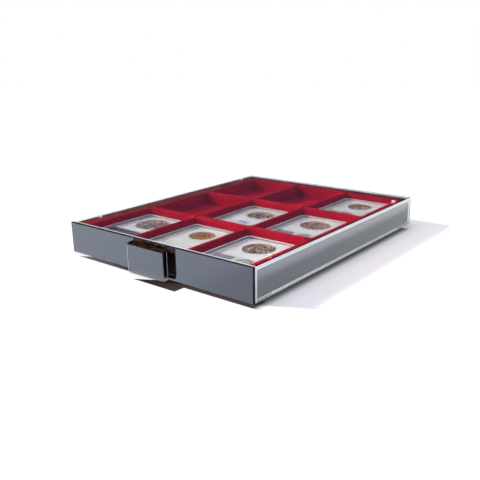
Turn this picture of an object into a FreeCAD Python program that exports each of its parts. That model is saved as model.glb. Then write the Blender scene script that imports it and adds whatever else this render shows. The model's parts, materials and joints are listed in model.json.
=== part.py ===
import FreeCAD
import Part
import math
import os

# Coin slab storage box: a clear sleeve, a smoke-tinted drawer, a velvet insert with
# three by three pockets, and six sealed coin slabs. All sizes are in millimetres.
# Origin: centre of the footprint, on the surface the box stands on.
# X runs to the right, Y to the back, Z up. The drawer pulls out along -Y.

Vector = FreeCAD.Vector

# Coin slab, the size that the whole box is laid out around
slab_width = 63.0
slab_length = 85.0
slab_height = 8.0
slab_corner_radius = 3.0
slab_wall = 2.2
slab_plate = 1.4
slab_seam_height = 4.0
slab_rim_width = 2.6
slab_rim_height = 1.0

# White coin holder, label and coin inside a slab
holder_side_gap = 0.2
holder_top_gap = 0.1
coin_back_margin = 5.5
coin_thickness = 2.6
coin_gap = 0.05
label_width = 56.0
label_length = 25.0
label_thickness = 0.4
label_gap = 0.1
label_front_margin = 6.0

# Pockets of the velvet insert
columns = 3
rows = 3
pocket_gap = 1.0
pocket_depth = 14.8
pocket_draft = 0.5
pocket_corner_radius = 2.5
column_ridge = 6.0
row_ridge = 11.0
side_rim = 9.9
end_rim = 6.05
ridge_radius = 2.0
ridge_facets = 2
rim_chamfer = 1.0
insert_sheet = 1.2
insert_corner_radius = 2.0
pocket_floor_rise = 8.5
slab_seat_gap = 0.2
insert_side_gap = 0.3
insert_seat_gap = 0.2

# Drawer
drawer_wall = 1.8
drawer_floor = 1.8
drawer_corner_radius = 1.2
panel_thickness = 2.5
panel_edge_chamfer = 0.5
drawer_side_gap = 0.5
drawer_glide_gap = 0.3
drawer_back_gap = 1.0
drawer_top_gap = 0.6
panel_gap = 0.3

# Handle plate in front of the panel, and the window behind it
handle_width = 47.0
handle_reach = 8.6
handle_plate = 2.2
handle_flange = 2.0
handle_bottom_height = 1.0
handle_top_height = 28.2
handle_root_rise = 1.6
handle_finger_slot = 2.8
handle_edge_chamfer = 0.5
window_overhang = 7.3
window_bottom_height = 1.9
window_flange_margin = 0.2
window_corner_radius = 3.0

# Sleeve
sleeve_wall = 2.0
sleeve_plate = 2.0
sleeve_headroom = 2.4
sleeve_corner_radius = 1.5
sleeve_edge_chamfer = 0.4
stud_radius = 2.0
stud_height = 1.0
stud_side_inset = 7.5
stud_end_inset = 32.0
stud_gap = 0.3

# Radii of the coins, each with a slab in the pocket of that name
front_left_coin = 19.0
front_centre_coin = 13.9
front_right_coin = 16.2
middle_centre_coin = 16.0
middle_right_coin = 16.5
back_right_coin = 14.1

# Column and row of each filled pocket, counted from the front left, and its coin's radius
filled_pockets = {
    "front_left": (0, 0, front_left_coin),
    "front_centre": (1, 0, front_centre_coin),
    "front_right": (2, 0, front_right_coin),
    "middle_centre": (1, 1, middle_centre_coin),
    "middle_right": (2, 1, middle_right_coin),
    "back_right": (2, 2, back_right_coin),
}

# The largest coin keeps its margin to the slab's back end, and all coins share its centre line
largest_coin = max(coin_radius for _, _, coin_radius in filled_pockets.values())
coin_offset = slab_length / 2 - coin_back_margin - largest_coin

# Widths and lengths that follow, from the slab outwards
pocket_width = slab_width + 2 * pocket_gap
pocket_length = slab_length + 2 * pocket_gap
column_pitch = pocket_width + column_ridge
row_pitch = pocket_length + row_ridge
insert_width = columns * pocket_width + (columns - 1) * column_ridge + 2 * side_rim
insert_length = rows * pocket_length + (rows - 1) * row_ridge + 2 * end_rim
drawer_inner_width = insert_width + 2 * insert_side_gap
drawer_inner_length = insert_length + 2 * insert_side_gap
drawer_width = drawer_inner_width + 2 * drawer_wall
box_width = drawer_width + 2 * (drawer_side_gap + sleeve_wall)
box_length = panel_thickness + drawer_inner_length + drawer_wall + drawer_back_gap + sleeve_wall

# Places along Y that follow
front = -box_length / 2
back = box_length / 2
panel_back = front + panel_thickness
drawer_back = panel_back + drawer_inner_length + drawer_wall
insert_front = panel_back + insert_side_gap
insert_middle = insert_front + insert_length / 2
first_row = insert_front + end_rim + pocket_length / 2
first_column = -(columns - 1) * column_pitch / 2

# Heights that follow, from the table upwards
drawer_bottom = sleeve_plate + drawer_glide_gap
drawer_floor_top = drawer_bottom + drawer_floor
insert_bottom = drawer_floor_top + insert_seat_gap
pocket_floor = insert_bottom + pocket_floor_rise
ridge_top = pocket_floor + pocket_depth
slab_bottom = pocket_floor + slab_seat_gap
sleeve_ceiling = ridge_top + sleeve_headroom
box_height = sleeve_ceiling + sleeve_plate
drawer_top = sleeve_ceiling - drawer_top_gap

# A cutter runs this far past the face that it opens
past = 1.0

# Two places closer than this count as the same
same_place = 1e-4


def rounded_outline(width, length, radius, centre_x, centre_y, z):
    """Closed wire of a rectangle with round corners, level at height z."""
    half_x = width / 2
    half_y = length / 2
    lean = radius * (1 - 0.5 ** 0.5)
    edges = []
    for quarter in range(4):
        turn = FreeCAD.Rotation(Vector(0, 0, 1), 90 * quarter)
        side_x, side_y = (half_x, half_y) if quarter % 2 == 0 else (half_y, half_x)
        arc_start = Vector(side_x, side_y - radius, 0)
        arc_middle = Vector(side_x - lean, side_y - lean, 0)
        arc_end = Vector(side_x - radius, side_y, 0)
        line_end = Vector(-side_x + radius, side_y, 0)
        points = [turn.multVec(p) + Vector(centre_x, centre_y, z)
                  for p in (arc_start, arc_middle, arc_end, line_end)]
        edges.append(Part.Arc(points[0], points[1], points[2]).toShape())
        edges.append(Part.LineSegment(points[2], points[3]).toShape())
    return Part.Wire(edges)


def rounded_block(width, length, radius, centre_x, centre_y, z_low, z_high):
    """Upright block with round corners between two heights."""
    outline = rounded_outline(width, length, radius, centre_x, centre_y, z_low)
    return Part.Face(outline).extrude(Vector(0, 0, z_high - z_low))


def block(x_low, x_high, y_low, y_high, z_low, z_high):
    """Plain block between two corners."""
    corner = Vector(x_low, y_low, z_low)
    return Part.makeBox(x_high - x_low, y_high - y_low, z_high - z_low, corner)


def cylinder(radius, x, y, z_low, z_high):
    """Upright cylinder between two heights."""
    return Part.makeCylinder(radius, z_high - z_low, Vector(x, y, z_low), Vector(0, 0, 1))


def edges_at_height(shape, z):
    """Edges that lie level at height z."""
    return [edge for edge in shape.Edges
            if max(abs(edge.BoundBox.ZMin - z), abs(edge.BoundBox.ZMax - z)) < same_place]


def corner_places():
    """X and Y of the four stacking studs and sockets."""
    x = box_width / 2 - stud_side_inset
    y = box_length / 2 - stud_end_inset
    return [(side_x * x, side_y * y) for side_x in (-1, 1) for side_y in (-1, 1)]


def make_sleeve():
    """Clear outer sleeve, open at the front, with studs on top and sockets below."""
    sleeve_front = panel_back + panel_gap
    shell = block(-box_width / 2, box_width / 2, sleeve_front, back, 0, box_height)
    upright = [edge for edge in shell.Edges
               if edge.BoundBox.ZLength > box_height / 2 and edge.BoundBox.YMin > 0]
    shell = shell.makeFillet(sleeve_corner_radius, upright)
    outer_rims = [edge for edge in edges_at_height(shell, 0) + edges_at_height(shell, box_height)
                  if edge.BoundBox.YMax > sleeve_front + past]
    shell = shell.makeChamfer(sleeve_edge_chamfer, outer_rims)
    half_inside = box_width / 2 - sleeve_wall
    inside = block(-half_inside, half_inside, sleeve_front - past, back - sleeve_wall,
                   sleeve_plate, sleeve_ceiling)
    shell = shell.cut(inside)
    for x, y in corner_places():
        stud = cylinder(stud_radius, x, y, sleeve_ceiling + sleeve_plate / 2, box_height + stud_height)
        socket_depth = stud_height + stud_gap
        socket = cylinder(stud_radius + stud_gap, x, y, -past, socket_depth)
        shell = shell.fuse(stud).cut(socket)
    return shell.removeSplitter()


def make_handle():
    """Hooded pull: plate, sloping top flange and side returns that stop short of the panel."""
    plate_front = front - handle_reach
    plate_back = plate_front + handle_plate
    root_top = handle_top_height + handle_root_rise
    half_width = handle_width / 2
    outside = Part.makePolygon([
        Vector(-half_width, front, root_top),
        Vector(-half_width, plate_front, handle_top_height),
        Vector(-half_width, plate_front, handle_bottom_height),
        Vector(-half_width, front, handle_bottom_height),
        Vector(-half_width, front, root_top)])
    hood = Part.Face(outside).extrude(Vector(handle_width, 0, 0))
    front_rim = [edge for edge in hood.Edges if edge.BoundBox.YMax < plate_front + same_place]
    hood = hood.makeChamfer(handle_edge_chamfer, front_rim)
    inside_half = half_width - handle_plate
    inside_root = root_top - handle_flange
    inside_front = handle_top_height - handle_flange
    below = handle_bottom_height - past
    inside = Part.makePolygon([
        Vector(-inside_half, front, inside_root),
        Vector(-inside_half, plate_back, inside_front),
        Vector(-inside_half, plate_back, below),
        Vector(-inside_half, front, below),
        Vector(-inside_half, front, inside_root)])
    hood = hood.cut(Part.Face(inside).extrude(Vector(2 * inside_half, 0, 0)))
    finger_slot = block(-half_width - past, half_width + past, front - handle_finger_slot, front,
                        below, inside_root)
    return hood.cut(finger_slot)


def make_window():
    """Cutter for the window in the panel behind the handle plate."""
    top = handle_top_height + handle_root_rise - handle_flange - window_flange_margin
    height = top - window_bottom_height
    middle = (top + window_bottom_height) / 2
    width = handle_width + 2 * window_overhang
    cutter = rounded_block(width, height, window_corner_radius, 0, 0, 0, panel_thickness + 2 * past)
    cutter.rotate(Vector(0, 0, 0), Vector(1, 0, 0), 90)
    cutter.translate(Vector(0, panel_back + past, middle))
    return cutter


def make_drawer():
    """Smoke-tinted drawer: tub, overlaying front panel, handle and window in one moulding."""
    tub_length = drawer_back - panel_back
    tub = rounded_block(drawer_width, tub_length + drawer_corner_radius, drawer_corner_radius, 0,
                        drawer_back - (tub_length + drawer_corner_radius) / 2,
                        drawer_bottom, drawer_top)
    panel = block(-box_width / 2, box_width / 2, front, panel_back, panel_gap, box_height)
    front_rim = [edge for edge in panel.Edges if edge.BoundBox.YMax < front + same_place]
    panel = panel.makeChamfer(panel_edge_chamfer, front_rim)
    behind_panel = block(-drawer_width / 2 - past, drawer_width / 2 + past,
                         panel_back - 2 * drawer_corner_radius, panel_back, 0, box_height)
    tub = tub.cut(behind_panel)
    inner_radius = insert_corner_radius
    cavity = rounded_block(drawer_inner_width, drawer_inner_length, inner_radius, 0,
                           panel_back + drawer_inner_length / 2, drawer_floor_top,
                           drawer_top + past)
    tub = tub.cut(cavity)
    return tub.fuse(panel).cut(make_window()).fuse(make_handle()).removeSplitter()


def pocket_centre(column, row):
    """X and Y of a pocket's centre."""
    return first_column + column * column_pitch, first_row + row * row_pitch


def pocket_form(column, row):
    """Drafted pocket whose mouth flares over the ridges in a quarter round."""
    x, y = pocket_centre(column, row)
    flare_start = ridge_top - ridge_radius
    heights = [pocket_floor]
    spreads = [0.0]
    for step in range(ridge_facets + 1):
        angle = math.pi / 2 * step / ridge_facets
        heights.append(flare_start + ridge_radius * math.sin(angle))
        spreads.append(pocket_draft + ridge_radius * (1 - math.cos(angle)))
    heights.append(ridge_top + past)
    spreads.append(spreads[-1])
    sections = [rounded_outline(pocket_width + 2 * spread, pocket_length + 2 * spread,
                                pocket_corner_radius, x, y, z)
                for z, spread in zip(heights, spreads)]
    return Part.makeLoft(sections, True, True)


def pocket_core(column, row):
    """Pocket grown by the sheet's thickness, which the hollow underneath goes round."""
    x, y = pocket_centre(column, row)
    sections = []
    for z, spread in ((pocket_floor - insert_sheet, 0.0), (ridge_top, pocket_draft)):
        half_x = pocket_width / 2 + spread + insert_sheet
        half_y = pocket_length / 2 + spread + insert_sheet
        corners = [Vector(x + side_x * half_x, y + side_y * half_y, z)
                   for side_x, side_y in ((-1, -1), (1, -1), (1, 1), (-1, 1), (-1, -1))]
        sections.append(Part.makePolygon(corners))
    return Part.makeLoft(sections, True, True)


def make_insert():
    """Formed velvet tray: drafted pockets between rounded ridges, hollow underneath."""
    places = [(column, row) for column in range(columns) for row in range(rows)]
    tray = rounded_block(insert_width, insert_length, insert_corner_radius, 0, insert_middle,
                         insert_bottom, ridge_top)
    tray = tray.makeChamfer(rim_chamfer, edges_at_height(tray, ridge_top))
    tray = tray.cut([pocket_form(column, row) for column, row in places])
    hollow = rounded_block(insert_width - 2 * insert_sheet, insert_length - 2 * insert_sheet,
                           insert_corner_radius - insert_sheet, 0, insert_middle,
                           insert_bottom - past, ridge_top - insert_sheet)
    hollow = hollow.cut([pocket_core(column, row) for column, row in places])
    return tray.cut(hollow)


def block_about(width, length, x, y, z_low, z_high):
    """Plain block centred on x and y."""
    return block(x - width / 2, x + width / 2, y - length / 2, y + length / 2, z_low, z_high)


def make_slab_base(x, y):
    """Lower clear half of a slab, a shallow tray."""
    seam = slab_bottom + slab_seam_height
    shell = rounded_block(slab_width, slab_length, slab_corner_radius, x, y, slab_bottom, seam)
    cavity = block_about(slab_width - 2 * slab_wall, slab_length - 2 * slab_wall, x, y,
                         slab_bottom + slab_plate, seam + past)
    return shell.cut(cavity)


def make_slab_lid(x, y):
    """Upper clear half of a slab, with a raised rim that the next slab stacks on."""
    seam = slab_bottom + slab_seam_height
    top = slab_bottom + slab_height
    plate_top = top - slab_rim_height
    shell = rounded_block(slab_width, slab_length, slab_corner_radius, x, y, seam, top)
    dish = block_about(slab_width - 2 * slab_rim_width, slab_length - 2 * slab_rim_width, x, y,
                       plate_top, top + past)
    cavity = block_about(slab_width - 2 * slab_wall, slab_length - 2 * slab_wall, x, y,
                         seam - past, plate_top - slab_plate)
    return shell.cut(dish).cut(cavity)


def holder_heights():
    """Bottom and top of the holder inside its slab."""
    low = slab_bottom + slab_plate
    high = slab_bottom + slab_height - slab_rim_height - slab_plate - holder_top_gap
    return low, high


def label_centre(y):
    """Y of a label's centre in the slab whose centre is at y."""
    return y - slab_length / 2 + label_front_margin + label_length / 2


def make_holder(x, y, coin_radius):
    """White holder that grips the coin by its edge, with a shallow recess for the label."""
    low, high = holder_heights()
    inset = slab_wall + holder_side_gap
    core = block_about(slab_width - 2 * inset, slab_length - 2 * inset, x, y, low, high)
    core = core.cut(cylinder(coin_radius + coin_gap, x, y + coin_offset, low - past, high + past))
    recess = block_about(label_width + 2 * label_gap, label_length + 2 * label_gap,
                         x, label_centre(y), high - label_thickness - label_gap, high + past)
    return core.cut(recess)


def make_label(x, y):
    """Thin label card in the holder's recess."""
    bottom = holder_heights()[1] - label_thickness - label_gap
    return block_about(label_width, label_length, x, label_centre(y), bottom,
                       bottom + label_thickness)


def make_coin(x, y, coin_radius):
    """Coin, halfway up its holder."""
    low = (sum(holder_heights()) - coin_thickness) / 2
    return cylinder(coin_radius, x, y + coin_offset, low, low + coin_thickness)


def make_slabs():
    """The five pieces of every slab, by node name."""
    pieces = {}
    for place, (column, row, coin_radius) in filled_pockets.items():
        x, y = pocket_centre(column, row)
        pieces["slab_base_" + place] = make_slab_base(x, y)
        pieces["slab_lid_" + place] = make_slab_lid(x, y)
        pieces["coin_holder_" + place] = make_holder(x, y, coin_radius)
        pieces["coin_" + place] = make_coin(x, y, coin_radius)
        pieces["label_" + place] = make_label(x, y)
    return pieces


def main():
    os.makedirs("parts", exist_ok=True)
    pieces = {
        "outer_sleeve": make_sleeve(),
        "drawer": make_drawer(),
        "velvet_insert": make_insert(),
    }
    pieces.update(make_slabs())
    for name, shape in pieces.items():
        solid = shape.Solids[0] if len(shape.Solids) == 1 else shape
        print(name, "solids", len(shape.Solids), "valid", shape.isValid(),
              "volume", round(shape.Volume, 1))
        solid.exportStep("parts/" + name + ".step")
    print("box", round(box_width, 2), round(box_length, 2), round(box_height, 2))


main()
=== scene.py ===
"""Coin slab storage box: plastics, flocked insert, struck coins, stage and camera.

Everything is in metres. X runs to the right, Y to the back and Z up. The table is at Z = 0.
"""

import json
import math

import bmesh
import bpy
from bpy.props import FloatProperty, FloatVectorProperty, PointerProperty
from mathutils import Matrix, Vector, noise


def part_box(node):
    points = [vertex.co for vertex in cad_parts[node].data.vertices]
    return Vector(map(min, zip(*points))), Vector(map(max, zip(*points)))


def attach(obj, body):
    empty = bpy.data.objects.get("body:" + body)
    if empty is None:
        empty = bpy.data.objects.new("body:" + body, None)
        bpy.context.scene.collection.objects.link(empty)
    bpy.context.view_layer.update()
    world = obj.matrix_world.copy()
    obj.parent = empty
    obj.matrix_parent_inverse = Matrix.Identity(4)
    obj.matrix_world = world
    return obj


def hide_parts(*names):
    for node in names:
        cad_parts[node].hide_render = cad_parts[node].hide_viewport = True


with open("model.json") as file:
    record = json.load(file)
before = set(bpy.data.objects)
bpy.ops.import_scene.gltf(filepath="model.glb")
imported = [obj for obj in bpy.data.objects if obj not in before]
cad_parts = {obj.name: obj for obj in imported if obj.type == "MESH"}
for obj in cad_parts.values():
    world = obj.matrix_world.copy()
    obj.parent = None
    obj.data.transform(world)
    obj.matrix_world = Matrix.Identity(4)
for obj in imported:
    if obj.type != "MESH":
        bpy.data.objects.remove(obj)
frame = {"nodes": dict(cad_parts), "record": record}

bl_info = {
    "name": "Coin Slab Storage Box",
    "version": (1, 0, 0),
    "blender": (4, 5, 0),
    "location": "View3D > Sidebar > Coin Box",
    "description": "Dresses a clear drawer box for coin slabs: flocked insert, coins, plastics and stage",
    "category": "Add Mesh",
}

NODES = frame["nodes"]
MOUNTS = {mount["name"]: Vector(mount["pos_m"]) for mount in frame["record"]["mounts"]}
SLAB_PLACES = sorted(name[len("slab_base_"):] for name in NODES if name.startswith("slab_base_"))
COLUMNS = 3
ROWS = 3

# The insert, its pockets and a slab, read from the frame
FLOOR_HEIGHT = MOUNTS["pocket_middle_left"].z
ROW_PITCH = MOUNTS["pocket_back_left"].y - MOUNTS["pocket_middle_left"].y
COLUMN_PITCH = MOUNTS["pocket_back_centre"].x - MOUNTS["pocket_back_left"].x
BACK_ROW = MOUNTS["pocket_back_left"].y
LEFT_COLUMN = MOUNTS["pocket_back_left"].x
SLAB_LOW, SLAB_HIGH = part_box("slab_base_front_left")
SLAB_WIDTH = SLAB_HIGH.x - SLAB_LOW.x
SLAB_LENGTH = SLAB_HIGH.y - SLAB_LOW.y
INSERT_LOW, INSERT_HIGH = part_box("velvet_insert")
INSERT_CENTRE = (INSERT_HIGH + INSERT_LOW) / 2
INSERT_HALF = (INSERT_HIGH - INSERT_LOW) / 2

# Width of the painted dark line at each slab's outer edge, longest edge in the insert, and waves of its pile
# per metre
SLAB_SHADED_EDGE = 0.0005
LONGEST_EDGE = 0.006
PILE_WAVES = 90

# The sleeve, and the heights and depths of the drawer where its painted shade, glints, highlights and backlit
# glow begin
SLEEVE_LOW, SLEEVE_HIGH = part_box("outer_sleeve")
TOP_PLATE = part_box("drawer")[1].z
HANDLE_REACH = 0.0086
HANDLE_HALF_WIDTH = 0.0235
HOOD_DEPTH = 0.006
PLATE_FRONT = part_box("drawer")[0].y
WALL_TOP = 0.0294
HOOD_LOW = Vector((-HANDLE_HALF_WIDTH, PLATE_FRONT + 0.0003, TOP_PLATE - HOOD_DEPTH))
HOOD_HIGH = Vector((HANDLE_HALF_WIDTH, PLATE_FRONT + HANDLE_REACH + 0.0003, TOP_PLATE - 0.0004))
LEFT_WALL_INNER = (-0.1139, -0.1135)
LEFT_WALL_SHOWN_ABOVE = 0.015
BACK_RIM_DEPTH = 0.008

# How far from each side the painted highlights along the clear sleeve's edges reach
GLOW_LEFT = 0.0044
GLOW_RIGHT = 0.0003
GLOW_RIGHT_TOP = 0.0034
GLOW_BACK = 0.0026
GLOW_FRONT = 0.0022

# Where the floor is painted with shadow: in front of the box and of its handle plate, and at the right side
CONTACT_FRONT = 0.0088
CONTACT_PLATE = 0.0090
CONTACT_LEFT = -0.101
CONTACT_RIGHT = SLEEVE_HIGH.x + 0.004
CONTACT_PLATE_LEFT = -0.007
CONTACT_PLATE_RIGHT = 0.046
CONTACT_END = (-0.2, -0.14)
CONTACT_SLANT = 1.9
CONTACT_SIDE_WIDTH = 0.012
CONTACT_SIDE_BACK = SLEEVE_HIGH.y - 0.022

# Painted reflection of the floor for glossy rays: its span in X, the brightness painted along that, and where
# the box is
MIRRORED_START = 0.16
MIRRORED_SPAN = 0.35
MIRRORED_STRENGTH = 1.25
MIRRORED_LEVELS = ((0.03, 1.0), (0.54, 0.9), (0.66, 0.72), (0.79, 0.68), (0.8, 0.5), (0.865, 0.53),
                   (0.905, 0.96))
COVERED_MARGIN = Vector((0.007, -0.001))

# The lamps: direction that the light travels, width seen from the box, and colour
OVERHEAD_LAMP = ((0.32, -0.25, -1), math.radians(60), (0.94, 0.95, 1.0))
SIDE_LAMP = ((0.051, 0.025, -0.032), math.radians(6), (1.0, 0.985, 0.87))

# The front panel's right end, painted near black as shade
PANEL_END_LOW = (SLEEVE_HIGH.x - 0.0005, SLEEVE_LOW.y - 0.004, SLEEVE_LOW.z)
PANEL_END_HIGH = (SLEEVE_HIGH.x + 0.001, SLEEVE_LOW.y + 0.004, TOP_PLATE)

# Thin edges of the handle and its plate, painted pale as highlights
HANDLE_EDGE = ((0.0228, -0.1550, 0.002), (0.0237, -0.1541, 0.0275))
PLATE_EDGE = ((-0.0237, -0.1603, 0.002), (-0.0227, -0.1590, 0.0275))


def pocket_centres():
    """Centre of every pocket's floor, front row first."""
    return [Vector((LEFT_COLUMN + column * COLUMN_PITCH, BACK_ROW - row * ROW_PITCH, FLOOR_HEIGHT))
            for row in reversed(range(ROWS)) for column in range(COLUMNS)]


# Small helpers for node trees

def new_material(name):
    """An empty material with its output node."""
    material = bpy.data.materials.new(name)
    material.use_nodes = True
    material.node_tree.nodes.clear()
    output = material.node_tree.nodes.new("ShaderNodeOutputMaterial")
    return material, material.node_tree, output


def wire(tree, source, target):
    """Links two sockets."""
    tree.links.new(source, target)


def set_inputs(node, **values):
    """Sets sockets whose names have blanks, written here with underscores."""
    for key, value in values.items():
        node.inputs[key.replace("_", " ")].default_value = value


def principled(tree, output, **values):
    """A Principled shader on the output."""
    shader = tree.nodes.new("ShaderNodeBsdfPrincipled")
    set_inputs(shader, **values)
    wire(tree, shader.outputs["BSDF"], output.inputs["Surface"])
    return shader


def object_coordinates(tree, scale=(1, 1, 1)):
    """Object coordinates through a Mapping node."""
    coordinates = tree.nodes.new("ShaderNodeTexCoord")
    mapping = tree.nodes.new("ShaderNodeMapping")
    set_inputs(mapping, Scale=scale)
    wire(tree, coordinates.outputs["Object"], mapping.inputs["Vector"])
    return mapping.outputs["Vector"]


def noise_value(tree, vector, scale, detail=3.0, roughness=0.5):
    """Noise between 0 and 1."""
    node = tree.nodes.new("ShaderNodeTexNoise")
    set_inputs(node, Scale=scale, Detail=detail, Roughness=roughness)
    wire(tree, vector, node.inputs["Vector"])
    return node.outputs["Fac"]


def ramp(tree, value, stops):
    """Colour ramp over a value. Stops are (position, colour)."""
    node = tree.nodes.new("ShaderNodeValToRGB")
    elements = node.color_ramp.elements
    while len(elements) < len(stops):
        elements.new(0.5)
    for element, (position, colour) in zip(elements, stops):
        element.position = position
        element.color = (*colour, 1)
    wire(tree, value, node.inputs["Fac"])
    return node.outputs["Color"]


def spread(tree, value, low, high):
    """A 0 to 1 value spread to a range."""
    node = tree.nodes.new("ShaderNodeMapRange")
    set_inputs(node, To_Min=low, To_Max=high)
    wire(tree, value, node.inputs["Value"])
    return node.outputs["Result"]


def maths(tree, operation, first, second=None):
    """A Math node over sockets or numbers."""
    node = tree.nodes.new("ShaderNodeMath")
    node.operation = operation
    for socket, value in zip(node.inputs, (first, second)):
        if value is None:
            continue
        if isinstance(value, (int, float)):
            socket.default_value = value
        else:
            wire(tree, value, socket)
    return node.outputs[0]


def parts_of(tree, where):
    """X, Y and Z of a place."""
    node = tree.nodes.new("ShaderNodeSeparateXYZ")
    wire(tree, where, node.inputs[0])
    return node.outputs


def rays(tree, kind):
    """1 for one kind of ray and 0 for the others."""
    return tree.nodes.new("ShaderNodeLightPath").outputs[kind]


def mixed_shader(tree, factor, first, second):
    """The first shader where the factor is 0, and the second where it is 1."""
    node = tree.nodes.new("ShaderNodeMixShader")
    for socket, source in zip(node.inputs, (factor, first, second)):
        wire(tree, source, socket)
    return node.outputs["Shader"]


def bumped(tree, shader, height, strength, distance):
    """Bump on a shader's normal."""
    node = tree.nodes.new("ShaderNodeBump")
    set_inputs(node, Strength=strength, Distance=distance)
    wire(tree, height, node.inputs["Height"])
    wire(tree, node.outputs["Normal"], shader.inputs["Normal"])


def let_lamps_through(tree, output, shader, tint):
    """Clear plastic bends what is seen, and rays from lamps pass straight on with a tint."""
    clear = tree.nodes.new("ShaderNodeBsdfTransparent")
    set_inputs(clear, Color=(*tint, 1))
    wire(tree, mixed_shader(tree, rays(tree, "Is Shadow Ray"), shader.outputs["BSDF"], clear.outputs["BSDF"]),
         output.inputs["Surface"])


def inside_box(tree, where, low, high):
    """1 inside a box, or a rectangle seen from above, and 0 outside it."""
    inside = 1.0
    for socket, start, end in zip(parts_of(tree, where), low, high):
        for operation, limit in (("GREATER_THAN", start), ("LESS_THAN", end)):
            inside = maths(tree, "MULTIPLY", inside, maths(tree, operation, socket, limit))
    return inside


def over(tree, below, above, mask):
    """One colour over another where the mask is 1."""
    mix = tree.nodes.new("ShaderNodeMix")
    mix.data_type = "RGBA"
    wire(tree, mask, mix.inputs["Factor"])
    for socket, colour in ((mix.inputs[6], below), (mix.inputs[7], above)):
        if isinstance(colour, tuple):
            socket.default_value = (*colour, 1)
        else:
            wire(tree, colour, socket)
    return mix.outputs[2]


# Materials

def sleeve_plastic(look):
    """Polished clear polystyrene with faint handling marks in its gloss, and painted highlights along its
    edges.
    """
    material, tree, output = new_material("clear_plastic")
    shader = principled(tree, output, Base_Color=(*look.clear_tint, 1), IOR=look.clear_ior)
    where = object_coordinates(tree)
    smears = noise_value(tree, where, 28.0, 4.0, 0.6)
    wire(tree, spread(tree, smears, 0.0, 0.03), shader.inputs["Roughness"])
    # Painted highlights: along the edges the clear plastic turns partly pale and matt
    edge = painted_edge_highlights(tree, where, look.clear_edge_highlight)
    wire(tree, spread(tree, edge, 1.0, 0.25), shader.inputs["Transmission Weight"])
    let_lamps_through(tree, output, shader, (0.95, 0.96, 0.97))
    return material


def slab_plastic(place, look):
    """Clear polystyrene with clear flat plates; its moulded walls are painted pale as highlights, with a
    painted dark line at the outer edge.
    """
    low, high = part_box("slab_base_" + place)
    material, tree, output = new_material("slab_plastic_" + place)
    shader = principled(tree, output, IOR=look.slab_ior)
    where = object_coordinates(tree)
    wall = Vector((look.slab_wall, look.slab_wall))
    rim = Vector((SLAB_SHADED_EDGE, SLAB_SHADED_EDGE))
    plate = inside_box(tree, where, low.xy + wall, high.xy - wall)
    inner = inside_box(tree, where, low.xy + rim, high.xy - rim)
    # Painted light: a grey line at the outer edge stands in for shade, and the walls' pale tint for
    # highlights in the clear plastic
    colour = over(tree, (0.5, 0.49, 0.53), tuple(look.slab_wall_tint), inner)
    wire(tree, over(tree, colour, (0.95, 0.955, 0.96), plate), shader.inputs["Base Color"])
    clear = maths(tree, "ADD", maths(tree, "MULTIPLY", inner, 0.02), maths(tree, "MULTIPLY", plate, 0.98))
    wire(tree, spread(tree, clear, 0.2, 1.0), shader.inputs["Transmission Weight"])
    scuffs = noise_value(tree, where, 90.0, 4.0, 0.6)
    wire(tree, spread(tree, scuffs, 0.0, 0.02), shader.inputs["Roughness"])
    let_lamps_through(tree, output, shader, (0.96, 0.965, 0.97))
    return material


def painted_edge_highlights(tree, where, width):
    """Painted highlights along the sleeve's edges: brightest at its top and upright edges, fainter at its
    lower ones.
    """
    x, y, z = parts_of(tree, where)

    def near(part, plane, reach=width):
        away = maths(tree, "ABSOLUTE", maths(tree, "SUBTRACT", part, plane))
        return maths(tree, "LESS_THAN", away, reach)

    def both(first, second, level):
        return maths(tree, "MULTIPLY", maths(tree, "MULTIPLY", first, second), level)
    top = near(z, TOP_PLATE)
    bottom = near(z, SLEEVE_LOW.z)
    left = near(x, SLEEVE_LOW.x, GLOW_LEFT)
    right = near(x, SLEEVE_HIGH.x, GLOW_RIGHT)
    back = near(y, SLEEVE_HIGH.y, GLOW_BACK)
    studs = maths(tree, "GREATER_THAN", z, TOP_PLATE + 0.0002)
    glows = [both(left, top, 1.0), both(back, top, 1.0), both(near(y, SLEEVE_LOW.y), top, 0.6),
             both(right, near(z, TOP_PLATE, GLOW_RIGHT_TOP), 1.0), both(right, back, 0.7),
             both(right, near(y, SLEEVE_LOW.y, GLOW_FRONT), 0.9), both(right, bottom, 0.22),
             both(back, bottom, 0.3), both(left, bottom, 0.3), both(studs, 1.0, 0.8)]
    brightest = glows[0]
    for glow in glows[1:]:
        brightest = maths(tree, "MAXIMUM", brightest, glow)
    return brightest


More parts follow.
